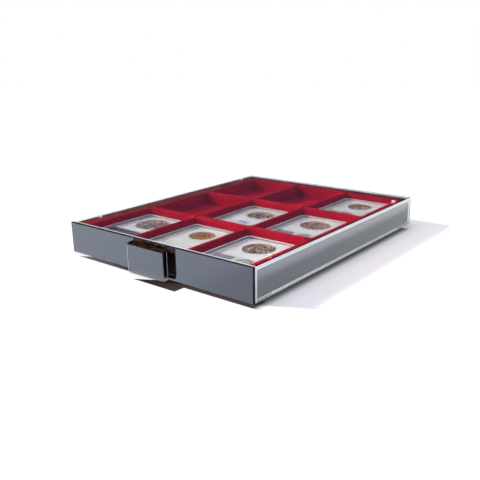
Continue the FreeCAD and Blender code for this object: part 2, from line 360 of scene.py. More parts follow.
def smoke_plastic(look):
    """Smoke-tinted polystyrene: grey where it shines, with painted shade at its rims, painted amber glints
    under the hood, painted highlights on thin edges and a painted backlit glow on its left wall.
    """
    material, tree, output = new_material("smoke_plastic")
    shader = principled(tree, output, Base_Color=(*look.smoke_tint, 1), Transmission_Weight=1.0,
                        IOR=look.smoke_ior, Specular_Tint=(0.71, 0.78, 0.99, 1))
    where = object_coordinates(tree)
    smears = noise_value(tree, where, 22.0, 4.0, 0.6)
    wire(tree, spread(tree, smears, 0.02, 0.07), shader.inputs["Roughness"])
    # Painted amber glints under the hood: streaks that the hood mirrors in amber instead of grey
    streaks = noise_value(tree, object_coordinates(tree, (260, 420, 420)), 1.0, 3.0, 0.7)
    amber = ramp(tree, streaks, [(0.42, (0.010, 0.006, 0.004)), (0.49, (0.08, 0.028, 0.004)),
                                 (0.58, (0.44, 0.17, 0.015))])
    hood = inside_box(tree, where, HOOD_LOW, HOOD_HIGH)
    back_start = SLEEVE_HIGH.y - BACK_RIM_DEPTH
    rim = inside_box(tree, where, (SLEEVE_LOW.x, SLEEVE_LOW.y, WALL_TOP - 0.0005),
                     (SLEEVE_HIGH.x, back_start, WALL_TOP + 0.0001))
    back_rim = inside_box(tree, where, (SLEEVE_LOW.x, back_start, WALL_TOP - 0.0002),
                          (SLEEVE_HIGH.x, SLEEVE_HIGH.y, WALL_TOP + 0.0001))
    end = inside_box(tree, where, PANEL_END_LOW, PANEL_END_HIGH)
    # Painted glow: the left wall's inner face shows olive-brown light as if lit through the plastic from
    # behind
    left_wall = inside_box(tree, where, (LEFT_WALL_INNER[0], SLEEVE_LOW.y, LEFT_WALL_SHOWN_ABOVE),
                           (LEFT_WALL_INNER[1], SLEEVE_HIGH.y, WALL_TOP))
    # Painted highlights: the back wall's top and thin edges of the handle and plate turn pale
    edges = back_rim
    for low, high in (HANDLE_EDGE, PLATE_EDGE):
        edges = maths(tree, "MAXIMUM", edges, inside_box(tree, where, low, high))
    olive = ramp(tree, noise_value(tree, where, 60.0, 3.0, 0.6),
                 [(0.35, (0.36, 0.19, 0.05)), (0.65, (0.62, 0.30, 0.08))])
    colour = over(tree, tuple(look.smoke_tint), amber, hood)
    colour = over(tree, colour, olive, left_wall)
    # Painted shade: the drawer's wall tops and the panel's right end are near black, darker than the smoke
    # plastic itself, and mirror almost nothing
    dark = maths(tree, "MAXIMUM", rim, end)
    colour = over(tree, colour, (0.006, 0.005, 0.005), dark)
    wire(tree, over(tree, colour, (0.7, 0.7, 0.75), edges), shader.inputs["Base Color"])
    # Where the painted glints and painted shade are, the plastic mirrors in its painted colour
    wire(tree, maths(tree, "MULTIPLY", maths(tree, "MAXIMUM", hood, dark), 0.9), shader.inputs["Metallic"])
    solid = maths(tree, "MAXIMUM", maths(tree, "MAXIMUM", hood, left_wall),
                  maths(tree, "MAXIMUM", dark, edges))
    wire(tree, spread(tree, solid, 1.0, 0.25), shader.inputs["Transmission Weight"])
    absorb = tree.nodes.new("ShaderNodeVolumeAbsorption")
    set_inputs(absorb, Color=(*look.smoke_depth_colour, 1), Density=look.smoke_density)
    wire(tree, absorb.outputs["Volume"], output.inputs["Volume"])
    let_lamps_through(tree, output, shader, look.smoke_lamp_tint)
    return material


def velvet(look):
    """Flocked pile: deep colour, pale sheen at grazing angles, brushed lighter and darker."""
    material, tree, output = new_material("velvet_flock")
    shader = principled(tree, output, Roughness=1.0, Specular_IOR_Level=0.05, Sheen_Weight=0.1,
                        Sheen_Roughness=0.35, Sheen_Tint=(1.0, 0.05, 0.10, 1))
    where = object_coordinates(tree)
    brushed = noise_value(tree, where, 38.0, 5.0, 0.6)
    fibres = noise_value(tree, where, 1900.0, 2.0, 0.6)
    mixed = maths(tree, "ADD", maths(tree, "MULTIPLY", brushed, 0.7), maths(tree, "MULTIPLY", fibres, 0.3))
    deep = [part * 0.72 for part in look.velvet_colour]
    pale = [min(1.0, part * 1.28) for part in look.velvet_colour]
    wire(tree, ramp(tree, mixed, [(0.25, deep), (0.75, pale)]), shader.inputs["Base Color"])
    bumped(tree, shader, fibres, 0.5, 0.0003)
    return material


def backing_plastic():
    """Black underside of the formed sheet that carries the flock."""
    material, tree, output = new_material("black_sheet")
    shader = principled(tree, output, Base_Color=(0.003, 0.0025, 0.003, 1), Specular_IOR_Level=0.1)
    grain = noise_value(tree, object_coordinates(tree), 700.0, 3.0, 0.6)
    wire(tree, spread(tree, grain, 0.42, 0.6), shader.inputs["Roughness"])
    bumped(tree, shader, grain, 0.3, 0.0001)
    return material


def holder_plastic():
    """White moulded holder with a faint mottle."""
    material, tree, output = new_material("holder_white")
    shader = principled(tree, output, IOR=1.5)
    where = object_coordinates(tree)
    mottle = noise_value(tree, where, 60.0, 4.0, 0.6)
    wire(tree, ramp(tree, mottle, [(0.3, (0.66, 0.655, 0.66)), (0.7, (0.705, 0.70, 0.705))]),
         shader.inputs["Base Color"])
    fine = noise_value(tree, where, 1500.0, 2.0)
    wire(tree, spread(tree, fine, 0.4, 0.55), shader.inputs["Roughness"])
    bumped(tree, shader, fine, 0.12, 0.00005)
    return material


def inside_disc(tree, where, centre, radius):
    """1 inside a disc seen from above, and 0 outside it."""
    x, y, _ = parts_of(tree, where)
    across = maths(tree, "SUBTRACT", x, centre[0])
    along = maths(tree, "SUBTRACT", y, centre[1])
    squared = maths(tree, "ADD", maths(tree, "MULTIPLY", across, across),
                    maths(tree, "MULTIPLY", along, along))
    return maths(tree, "LESS_THAN", squared, radius * radius)


def label_card(place, prints):
    """Label card with plain printed patches: each is a rectangle or a round badge."""
    low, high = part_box("label_" + place)
    material, tree, output = new_material("label_card_" + place)
    shader = principled(tree, output, Roughness=0.45)
    where = object_coordinates(tree)
    paper = noise_value(tree, where, 240.0, 3.0)
    base, patches = prints
    colour = ramp(tree, paper, [(0.3, tuple(part * 0.94 for part in base)), (0.7, base)])
    width = high.x - low.x
    length = high.y - low.y
    for kind, (across, along), size, ink in patches:
        centre = (low.x + across * width, low.y + along * length)
        if kind == "badge":
            mask = inside_disc(tree, where, centre, size[0])
        else:
            half = (size[0] / 2, size[1] / 2)
            mask = inside_box(tree, where, (centre[0] - half[0], centre[1] - half[1]),
                              (centre[0] + half[0], centre[1] + half[1]))
        colour = over(tree, colour, ink, mask)
    wire(tree, colour, shader.inputs["Base Color"])
    return material


def coin_metal(name, light, dark):
    """Struck metal, toned darker in patches."""
    material, tree, output = new_material(name)
    shader = principled(tree, output, Metallic=0.8)
    where = object_coordinates(tree)
    toning = noise_value(tree, where, 480.0, 3.0, 0.6)
    wire(tree, ramp(tree, toning, [(0.44, dark), (0.55, light)]), shader.inputs["Base Color"])
    wire(tree, spread(tree, toning, 0.5, 0.28), shader.inputs["Roughness"])
    bumped(tree, shader, noise_value(tree, where, 700.0, 3.0), 0.7, 0.00025)
    return material


# Small helpers for meshes

def start_primitive(adder, name, **values):
    """Adds a primitive in edit mode with nothing else selected, and names it."""
    bpy.ops.object.select_all(action="DESELECT")
    adder(**values)
    piece = bpy.context.object
    piece.name = name
    piece.data.name = name
    bpy.ops.object.mode_set(mode="EDIT")
    bpy.ops.mesh.select_mode(type="FACE")
    return piece


def select_where(piece, kind, test):
    """Selects only the faces, edges or vertices that pass a test, in edit mode."""
    bpy.ops.mesh.select_all(action="DESELECT")
    bpy.ops.mesh.select_mode(type={"faces": "FACE", "edges": "EDGE", "verts": "VERT"}[kind])
    mesh = bmesh.from_edit_mesh(piece.data)
    passed = [element for element in getattr(mesh, kind) if test(element)]
    for element in passed:
        element.select_set(True)
    mesh.select_flush_mode()
    bmesh.update_edit_mesh(piece.data)
    if not passed:
        raise RuntimeError(f"nothing to shape on {piece.name}")


def select_only(piece, *others):
    """Selects a piece, as the active one, and the others with it."""
    bpy.ops.object.select_all(action="DESELECT")
    for each in (piece, *others):
        each.select_set(True)
    bpy.context.view_layer.objects.active = piece


def extrude_by(height):
    """Extrudes what is selected along Z."""
    bpy.ops.mesh.extrude_region_move(TRANSFORM_OT_translate={"value": (0, 0, height)})


def settle(piece):
    """Leaves edit mode and puts the object's place into its mesh."""
    if bpy.context.mode != "OBJECT":
        bpy.ops.object.mode_set(mode="OBJECT")
    select_only(piece)
    bpy.ops.object.transform_apply(location=True, rotation=True, scale=True)
    return piece


def apply_modifier(piece, kind, **values):
    """Adds a modifier and applies it."""
    modifier = piece.modifiers.new(kind.lower(), kind)
    for key, value in values.items():
        setattr(modifier, key, value)
    bpy.context.view_layer.objects.active = piece
    bpy.ops.object.modifier_apply(modifier=modifier.name)


def put_material(piece, *materials):
    """Gives a piece its materials, in order."""
    piece.data.materials.clear()
    for material in materials:
        piece.data.materials.append(material)


def join_pieces(target, others):
    """Joins the others into the target."""
    select_only(target, *others)
    bpy.ops.object.join()


class BoxLook(bpy.types.PropertyGroup):
    """Colours and finish of the plastics and the flock."""
    clear_tint: FloatVectorProperty(
        name="Clear tint", description="Colour that the clear plastic gives to what is behind it",
        default=(0.985, 0.993, 1.0), subtype="COLOR", min=0, max=1)
    clear_ior: FloatProperty(
        name="Clear index", description="Index of refraction of the clear plastic",
        default=1.42, min=1, max=3)
    # Width of the painted highlights along the clear plastic's edges
    clear_edge_highlight: FloatProperty(
        name="Clear edge", description="Width of the edges that catch the light in the clear plastic",
        default=0.0018, min=0, unit="LENGTH")
    slab_ior: FloatProperty(
        name="Slab index", description="Index of refraction of the slabs' clear plastic",
        default=1.2, min=1, max=3)
    # Width of the wall round each slab that is painted pale as a highlight
    slab_wall: FloatProperty(
        name="Slab wall", description="Width of the greyer wall round each slab",
        default=0.0024, min=0, unit="LENGTH")
    # Pale tint painted on the wall round each slab as a highlight
    slab_wall_tint: FloatVectorProperty(
        name="Slab wall tint", description="Tint of the wall round each slab",
        default=(0.9, 0.885, 0.93), subtype="COLOR", min=0, max=1)
    smoke_tint: FloatVectorProperty(
        name="Smoke surface tint", description="Tint at the smoke plastic's surface",
        default=(0.12, 0.09, 0.075), subtype="COLOR", min=0, max=1)
    smoke_depth_colour: FloatVectorProperty(
        name="Smoke depth colour", description="Colour that the smoke plastic turns light to with depth",
        default=(0.74, 0.36, 0.08), subtype="COLOR", min=0, max=1)
    smoke_density: FloatProperty(
        name="Smoke density", description="How fast the smoke plastic darkens with depth, per metre",
        default=1000.0, min=0)
    smoke_ior: FloatProperty(
        name="Smoke index", description="Index of refraction of the smoke plastic",
        default=2.6, min=1, max=3)
    smoke_lamp_tint: FloatVectorProperty(
        name="Smoke lamp tint", description="What one surface of smoke plastic lets through from lamps",
        default=(0.6, 0.55, 0.52), subtype="COLOR", min=0, max=1)
    velvet_colour: FloatVectorProperty(
        name="Velvet", description="Colour of the flocked insert",
        default=(0.33, 0.0020, 0.0070), subtype="COLOR", min=0, max=1)


class InsertShape(bpy.types.PropertyGroup):
    """Sizes of the flocked insert that the frame doesn't give."""
    pocket_gap: FloatProperty(
        name="Pocket gap", description="Room between a slab and its pocket's flocked walls",
        default=0.0006, min=0, unit="LENGTH")
    draft: FloatProperty(
        name="Draft", description="How far each pocket wall leans out below its shoulder",
        default=0.0004, min=0, unit="LENGTH")
    shoulder: FloatProperty(
        name="Shoulder", description="Height of the sloping top part of each pocket wall",
        default=0.0065, min=0, unit="LENGTH")
    shoulder_lean: FloatProperty(
        name="Shoulder lean", description="How far the sloping part leans out",
        default=0.0012, min=0, unit="LENGTH")
    corner: FloatProperty(
        name="Pocket corner", description="Radius of the pockets' upright corners",
        default=0.003, min=0, unit="LENGTH")
    ridge: FloatProperty(
        name="Ridge rounding", description="Radius of the ridges' tops",
        default=0.0032, min=0, unit="LENGTH")
    rim: FloatProperty(
        name="Rim rounding", description="Radius of the insert's outer top edge",
        default=0.0030, min=0, unit="LENGTH")
    rim_fall: FloatProperty(
        name="Rim fall", description="How far the rim slopes down from the pockets to its outer edge",
        default=0.0032, min=0, unit="LENGTH")
    floor_fillet: FloatProperty(
        name="Floor fillet", description="Radius where the pocket walls meet the floor",
        default=0.0012, min=0, unit="LENGTH")
    sheet: FloatProperty(
        name="Sheet", description="Thickness of the formed sheet with its flock",
        default=0.0011, min=0, unit="LENGTH")
    pile: FloatProperty(
        name="Pile unevenness", description="How far the flock's surface wanders",
        default=0.00018, min=0, unit="LENGTH")


class CoinShape(bpy.types.PropertyGroup):
    """Sizes of the coins' striking."""
    rim_width: FloatProperty(
        name="Rim width", description="Width of the raised rim",
        default=0.0011, min=0, unit="LENGTH")
    field_depth: FloatProperty(
        name="Field depth", description="How far the field lies below the rim",
        default=0.00035, min=0, unit="LENGTH")
    relief: FloatProperty(
        name="Relief", description="Height of the ornament above the field",
        default=0.0008, min=0, unit="LENGTH")


class StageLook(bpy.types.PropertyGroup):
    """Floor, lamps and camera."""
    camera_azimuth: FloatProperty(
        name="Camera azimuth", description="Camera's direction round the box, from the front to the right",
        default=math.radians(38.914), subtype="ANGLE")
    camera_elevation: FloatProperty(
        name="Camera elevation", description="Camera's height above the horizon",
        default=math.radians(17.119), subtype="ANGLE")
    camera_roll: FloatProperty(
        name="Camera roll", description="Camera's turn about its own axis",
        default=math.radians(-0.855), subtype="ANGLE")
    camera_distance: FloatProperty(
        name="Camera distance", description="From the camera to the point that it looks at",
        default=0.67354, unit="LENGTH")
    camera_aim: FloatVectorProperty(
        name="Camera aim", description="Point that the camera looks at",
        default=(-0.00699, -0.01277, -0.00202), subtype="TRANSLATION", unit="LENGTH")
    camera_lens: FloatProperty(
        name="Lens", description="Focal length on a 36 mm sensor, in millimetres",
        default=45.76, min=1)
    floor_colour: FloatVectorProperty(
        name="Floor", description="Colour of the floor",
        default=(0.80, 0.80, 0.83), subtype="COLOR", min=0, max=1)
    # Colour of the painted glow that polished plastic reflects in place of the floor
    floor_painted_reflection: FloatVectorProperty(
        name="Floor in mirrors", description="Colour of the floor as polished plastic reflects it",
        default=(0.97, 1.0, 1.0), subtype="COLOR", min=0, max=1)
    sky_strength: FloatProperty(
        name="Sky", description="Strength of the soft light from all round",
        default=1.1, min=0)
    overhead_strength: FloatProperty(
        name="Overhead lamp", description="Strength of the lamp above the back left corner",
        default=1.6, min=0)
    side_strength: FloatProperty(
        name="Side lamp", description="Strength of the low lamp at the front left",
        default=3.9, min=0)


# Flocked insert

def extrude_pockets(piece, shape, top):
    """Cuts the pockets' outlines into the plate and pushes each pocket down with its draft."""
    floor_half = (SLAB_WIDTH / 2 + shape.pocket_gap, SLAB_LENGTH / 2 + shape.pocket_gap)
    waist_half = [part + shape.draft for part in floor_half]
    half_width, half_length = [part + shape.shoulder_lean for part in waist_half]
    columns = sorted({round(centre.x, 6) for centre in pocket_centres()})
    rows = sorted({round(centre.y, 6) for centre in pocket_centres()})
    for x in columns:
        for side in (-half_width, half_width):
            bpy.ops.mesh.select_all(action="SELECT")
            bpy.ops.mesh.bisect(plane_co=(x + side, 0, top), plane_no=(1, 0, 0))
    for y in rows:
        for side in (-half_length, half_length):
            bpy.ops.mesh.select_all(action="SELECT")
            bpy.ops.mesh.bisect(plane_co=(0, y + side, top), plane_no=(0, 1, 0))
    for centre in pocket_centres():
        select_where(piece, "faces", lambda face: abs(face.calc_center_median().x - centre.x) < 0.01
                     and abs(face.calc_center_median().y - centre.y) < 0.01
                     and face.calc_center_median().z > top - 1e-5)
        waist = top - shape.shoulder
        extrude_by(waist - top)
        bpy.ops.transform.resize(value=(waist_half[0] / half_width, waist_half[1] / half_length, 1),
                                 center_override=(centre.x, centre.y, waist))
        extrude_by(FLOOR_HEIGHT - waist)
        bpy.ops.transform.resize(value=(floor_half[0] / waist_half[0], floor_half[1] / waist_half[1], 1),
                                 center_override=(centre.x, centre.y, FLOOR_HEIGHT))


def round_the_insert(piece, shape, top):
    """Rounds the pockets' corners, the floor's edge and the tops of the ridges."""
    def leaning(edge):
        return abs(edge.verts[0].co.z - edge.verts[1].co.z) > 0.003
    select_where(piece, "edges", leaning)
    bpy.ops.mesh.bevel(offset=shape.corner, segments=4, affect="EDGES")

    def floor_edge(edge):
        low = all(abs(vert.co.z - FLOOR_HEIGHT) < 1e-5 for vert in edge.verts)
        return low and any(abs(face.normal.z) < 0.7 for face in edge.link_faces)
    select_where(piece, "edges", floor_edge)
    bpy.ops.mesh.bevel(offset=shape.floor_fillet, segments=3, affect="EDGES")

    def rim_edge(edge):
        high = all(vert.co.z > top - shape.rim_fall - 1e-4 for vert in edge.verts)
        return high and any(abs(face.normal.z) < 0.02 for face in edge.link_faces)
    select_where(piece, "edges", rim_edge)
    bpy.ops.mesh.bevel(offset=shape.rim, segments=5, affect="EDGES")

    def pocket_edge(edge):
        high = all(abs(vert.co.z - top) < 1e-5 for vert in edge.verts)
        return high and any(0.02 < abs(face.normal.z) < 0.4 for face in edge.link_faces)
    select_where(piece, "edges", pocket_edge)
    room = min(COLUMN_PITCH - SLAB_WIDTH, ROW_PITCH - SLAB_LENGTH) / 2
    room -= shape.pocket_gap + shape.draft + shape.shoulder_lean
    bpy.ops.mesh.bevel(offset=min(shape.ridge, room * 0.96), segments=6, affect="EDGES")


def make_insert(shape):
    """Formed tray with nine drafted pockets, rounded ridges and a skirt."""
    top = INSERT_HIGH.z
    piece = start_primitive(bpy.ops.mesh.primitive_plane_add, "flocked_insert", size=2,
                            location=(*INSERT_CENTRE.xy, top))
    bpy.ops.object.mode_set(mode="OBJECT")
    piece.scale = (*INSERT_HALF.xy, 1)
    settle(piece)
    bpy.ops.object.mode_set(mode="EDIT")
    extrude_pockets(piece, shape, top)
    select_where(piece, "edges", lambda edge: edge.is_boundary)
    extrude_by(INSERT_LOW.z - top)
    select_where(piece, "verts", lambda vert: vert.co.z > top - 1e-5
                 and abs(vert.co.x) > INSERT_HALF.x - 1e-4 and vert.co.y > INSERT_LOW.y + 0.02)
    bpy.ops.transform.translate(value=(0, 0, -shape.rim_fall))
    round_the_insert(piece, shape, top)
    settle(piece)
    apply_modifier(piece, "SOLIDIFY", thickness=shape.sheet, offset=-1, use_rim=True)
    return piece


def rough_up(piece, shape):
    """Divides the long faces and lets the pile wander a little."""
    select_only(piece)
    bpy.ops.object.mode_set(mode="EDIT")
    for _ in range(4):
        mesh = bmesh.from_edit_mesh(piece.data)
        long_edges = [edge for edge in mesh.edges if edge.calc_length() > LONGEST_EDGE]
        if not long_edges:
            break
        bmesh.ops.subdivide_edges(mesh, edges=long_edges, cuts=1, use_grid_fill=True)
        bmesh.update_edit_mesh(piece.data)
    bpy.ops.object.mode_set(mode="OBJECT")
    for vertex in piece.data.vertices:
        offset = noise.noise(vertex.co * PILE_WAVES) * shape.pile
        away = vertex.co - INSERT_CENTRE
        inner = all(abs(away[axis]) < INSERT_HALF[axis] - 0.0015 for axis in (0, 1))
        if inner and vertex.co.z > FLOOR_HEIGHT + 0.0004:
            vertex.co += vertex.normal * offset


def paint_insert(piece):
    """Flock on all that faces the pockets, and bare black sheet outside and underneath."""
    for polygon in piece.data.polygons:
        away = polygon.center - INSERT_CENTRE
        outside = any(abs(away[axis]) > INSERT_HALF[axis] - 0.0002 for axis in (0, 1))
        polygon.material_index = 1 if outside and abs(polygon.normal.z) < 0.2 else 0


class COINBOX_OT_insert(bpy.types.Operator):
    """Make the flocked insert"""
    bl_idname = "coinbox.insert"
    bl_label = "Flocked insert"

    def execute(self, context):
        scene = context.scene
        shape = scene.insert_shape
        piece = make_insert(shape)
        rough_up(piece, shape)
        put_material(piece, velvet(scene.box_look), backing_plastic())
        paint_insert(piece)
        bpy.ops.object.shade_smooth_by_angle(angle=math.radians(40))
        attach(piece, "drawer")
        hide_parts("velvet_insert")
        return {"FINISHED"}


# Coins

COIN_DESIGNS = {
    "front_left": {"metal": "silver", "points": 8, "leaves": 9},
    "front_centre": {"metal": "gold_bronze", "points": 5, "leaves": 8},
    "front_right": {"metal": "bronze", "points": 6, "leaves": 9},
    "middle_centre": {"metal": "silver", "points": 6, "leaves": 10},
    "middle_right": {"metal": "bronze", "points": 8, "leaves": 8},
    "back_right": {"metal": "bronze", "points": 5, "leaves": 8},
}

# Light and dark colour of each metal
METALS = {
    "silver": ((0.84, 0.72, 0.66), (0.055, 0.045, 0.05)),
    "bronze": ((0.80, 0.61, 0.48), (0.10, 0.07, 0.05)),
    "gold_bronze": ((0.84, 0.54, 0.22), (0.08, 0.03, 0.01)),
}


def coin_blank(name, centre, radius, thickness, shape):
    """Coin with a raised rounded rim and a sunk field on both faces."""
    piece = start_primitive(bpy.ops.mesh.primitive_cylinder_add, name, vertices=96, radius=radius,
                            depth=thickness, location=centre)
    select_where(piece, "faces", lambda face: abs(face.normal.z) > 0.9)
    bpy.ops.mesh.inset(thickness=shape.rim_width)
    for sign in (1, -1):
        select_where(piece, "faces", lambda face: face.normal.z * sign > 0.9
                     and face.calc_center_median().xy.length < radius / 4)
        extrude_by(-sign * shape.field_depth)
        bpy.ops.transform.resize(value=(0.985, 0.985, 1), center_override=(*centre.xy, centre.z))
    select_where(piece, "edges", lambda edge: abs(edge.verts[0].co.z - edge.verts[1].co.z) < 1e-6
                 and all(vert.co.xy.length > radius - shape.rim_width - 1e-5 for vert in edge.verts)
                 and abs(edge.verts[0].co.xy.length - edge.verts[1].co.xy.length) < 1e-5)
    bpy.ops.mesh.bevel(offset=0.00018, segments=2, affect="EDGES")
    return settle(piece)


def star(name, centre, points, outer, inner, height):
    """Raised star with sloping arms."""
    piece = start_primitive(bpy.ops.mesh.primitive_circle_add, name, vertices=2 * points, radius=outer,
                            fill_type="TRIFAN", location=centre)
    mesh = bmesh.from_edit_mesh(piece.data)
    for vertex in mesh.verts:
        if vertex.co.xy.length < outer / 4:
            vertex.co.z += height
        elif round(math.atan2(vertex.co.y, vertex.co.x) / (math.pi / points)) % 2:
            vertex.co.xy *= inner / outer
    bmesh.update_edit_mesh(piece.data)
    return settle(piece)


def unit_leaf():
    """Leaf one metre long, a ball drawn to a point, which the wreaths and beads copy."""
    piece = start_primitive(bpy.ops.mesh.primitive_uv_sphere_add, "leaf", segments=10, ring_count=6,
                            radius=0.5, location=(0, 0, 0))
    mesh = bmesh.from_edit_mesh(piece.data)
    for vertex in mesh.verts:
        vertex.co.y *= 1 - 0.75 * max(0.0, vertex.co.x * 2) ** 2
    bmesh.update_edit_mesh(piece.data)
    return settle(piece)


def copy_piece(piece, name, place, turn, size):
    """Copy with its own mesh, sized, turned about Z and moved."""
    copy = bpy.data.objects.new(name, piece.data.copy())
    bpy.context.scene.collection.objects.link(copy)
    copy.data.transform(Matrix.Translation(place) @ Matrix.Rotation(turn, 4, "Z")
                        @ Matrix.Diagonal((*size, 1)))
    return copy


def bead_ring(pattern, name, centre, radius, count, size):
    """Ring of small beads inside the rim."""
    beads = []
    for step in range(count):
        angle = 2 * math.pi * step / count
        place = centre + Vector((math.cos(angle), math.sin(angle), 0)) * radius
        beads.append(copy_piece(pattern, f"{name}_{step}", place, angle, (size, size, size * 0.8)))
    return beads


def make_coin(place, shape, metal, pattern):
    """Struck coin with a wreath, beads and a star on its upper face."""
    low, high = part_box("coin_" + place)
    centre = (low + high) / 2
    radius = (high.x - low.x) / 2
    design = COIN_DESIGNS[place]
    name = "struck_coin_" + place
    piece = coin_blank(name, centre, radius, high.z - low.z, shape)
    field = Vector((centre.x, centre.y, high.z - shape.field_depth))
    parts = [star(name + "_star", field, design["points"], radius * 0.34, radius * 0.17, shape.relief * 0.7)]
    for side in (-1, 1):
        for step in range(design["leaves"]):
            share = (step + 0.6) / design["leaves"]
            angle = -math.pi / 2 + side * (0.25 + share * 2.45)
            spot = field + Vector((math.cos(angle), math.sin(angle), 0)) * radius * 0.6
            for lean in (-0.55, 0.55):
                turn = angle + side * (math.pi / 2) + lean
                reach = Vector((math.cos(turn), math.sin(turn), 0)) * radius * 0.075
                parts.append(copy_piece(pattern, f"{name}_leaf", spot + reach, turn,
                                        (radius * 0.2, radius * 0.085, shape.relief)))
    parts += bead_ring(pattern, name + "_bead", field, radius - shape.rim_width * 1.7, 48,
                       radius * 0.032)
    join_pieces(piece, parts)
    put_material(piece, metal)
    bpy.ops.object.shade_smooth_by_angle(angle=math.radians(35))
    return piece


class COINBOX_OT_coins(bpy.types.Operator):
    """Make the struck coins"""
    bl_idname = "coinbox.coins"
    bl_label = "Coins"

    def execute(self, context):
        shape = context.scene.coin_shape
        metals = {name: coin_metal(name, *colours) for name, colours in METALS.items()}
        pattern = unit_leaf()
        for place in SLAB_PLACES:
            metal = COIN_DESIGNS[place]["metal"]
            piece = make_coin(place, shape, metals[metal], pattern)
            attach(piece, "slab_" + place)
            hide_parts("coin_" + place)
        bpy.data.objects.remove(pattern)
        return {"FINISHED"}


# Plastics on the frame's own nodes

# Each card's colour, then its patches: kind, place on the card, size and ink
LABELS = {
    "front_left": ((0.06, 0.065, 0.12), [("patch", (0.86, 0.5), (0.014, 0.03), (0.57, 0.57, 0.60))]),
    "front_centre": ((0.60, 0.60, 0.61), [("patch", (0.3, 0.5), (0.016, 0.006), (0.48, 0.48, 0.55))]),
    "front_right": ((0.60, 0.59, 0.595), [("patch", (0.27, 0.64), (0.022, 0.0135), (0.19, 0.18, 0.24)),
                                         ("badge", (0.70, 0.62), (0.0092,), (0.20, 0.23, 0.19)),
                                         ("badge", (0.70, 0.62), (0.0066,), (0.30, 0.33, 0.29))]),
    "middle_centre": ((0.60, 0.60, 0.62), [("patch", (0.5, 0.86), (0.012, 0.004), (0.06, 0.09, 0.50))]),
    "middle_right": ((0.60, 0.59, 0.595), [("patch", (0.28, 0.68), (0.020, 0.0085), (0.11, 0.11, 0.15)),
                                          ("badge", (0.69, 0.62), (0.0078,), (0.22, 0.16, 0.24))]),
    "back_right": ((0.59, 0.60, 0.60), [("patch", (0.24, 0.76), (0.012, 0.0095), (0.05, 0.33, 0.06)),
                                        ("patch", (0.52, 0.76), (0.014, 0.0095), (0.14, 0.14, 0.18))]),
}


class COINBOX_OT_plastics(bpy.types.Operator):
    """Give the sleeve, drawer, slabs, holders and labels their plastics"""
    bl_idname = "coinbox.plastics"
    bl_label = "Plastics"

    def execute(self, context):
        look = context.scene.box_look
        holder = holder_plastic()
        put_material(NODES["outer_sleeve"], sleeve_plastic(look))
        put_material(NODES["drawer"], smoke_plastic(look))
        for place in SLAB_PLACES:
            slab = slab_plastic(place, look)
            put_material(NODES["slab_base_" + place], slab)
            put_material(NODES["slab_lid_" + place], slab)
            put_material(NODES["coin_holder_" + place], holder)
            put_material(NODES["label_" + place], label_card(place, LABELS[place]))
        return {"FINISHED"}


# Stage

def pale_backdrop_factor(tree):
    """1 for rays from the camera, mirrors and clear plastic, and 0 for rays that carry light."""
    seen = maths(tree, "ADD", rays(tree, "Is Camera Ray"), rays(tree, "Is Glossy Ray"))
    seen = maths(tree, "ADD", seen, rays(tree, "Is Transmission Ray"))
    return maths(tree, "MINIMUM", seen, 1.0)


def painted_shadow_colour(tree, where, floor_colour):
    """Floor with painted shadow in front of the box and along its right side."""
    x, y, _ = parts_of(tree, where)
    front = SLEEVE_LOW.y - CONTACT_FRONT
    plate = PLATE_FRONT - CONTACT_PLATE
    bands = []
    for start, line, high in ((CONTACT_LEFT, front, CONTACT_RIGHT),
                              (CONTACT_PLATE_LEFT, plate, CONTACT_PLATE_RIGHT)):
        slant = maths(tree, "MULTIPLY", maths(tree, "SUBTRACT", y, line), CONTACT_SLANT)
        past = maths(tree, "GREATER_THAN", maths(tree, "SUBTRACT", x, start), slant)
        under = inside_box(tree, where, (CONTACT_END[0], line), (high, CONTACT_END[1]))
        bands.append(maths(tree, "MULTIPLY", past, under))
    band = maths(tree, "MAXIMUM", *bands)
    # Painted shadow band: darkest in its middle, paler towards its ends
    along = maths(tree, "MULTIPLY", maths(tree, "ADD", x, 0.12), 4.0)
    tone = ramp(tree, along, [(0.0, (0.15, 0.145, 0.17)), (0.18, (0.12, 0.10, 0.11)),
                              (0.45, (0.03, 0.022, 0.018)), (0.55, (0.03, 0.022, 0.018)),
                              (0.7, (0.06, 0.042, 0.045)), (1.0, (0.06, 0.045, 0.05))])
    # Painted shadow along the right side, fading from dark at the box to the floor's colour
    beside = maths(tree, "DIVIDE", maths(tree, "SUBTRACT", x, SLEEVE_HIGH.x), CONTACT_SIDE_WIDTH)
    side = ramp(tree, beside, [(0.0, (0.08, 0.077, 0.085)), (0.3, (0.17, 0.168, 0.19)),
                               (0.5, (0.30, 0.3, 0.33)), (0.75, (0.62, 0.62, 0.66)), (1.0, floor_colour)])
    right = inside_box(tree, where, (SLEEVE_HIGH.x - 0.01, front), (SLEEVE_HIGH.x + 0.02, CONTACT_SIDE_BACK))
    return over(tree, over(tree, floor_colour, side, right), tone, band)


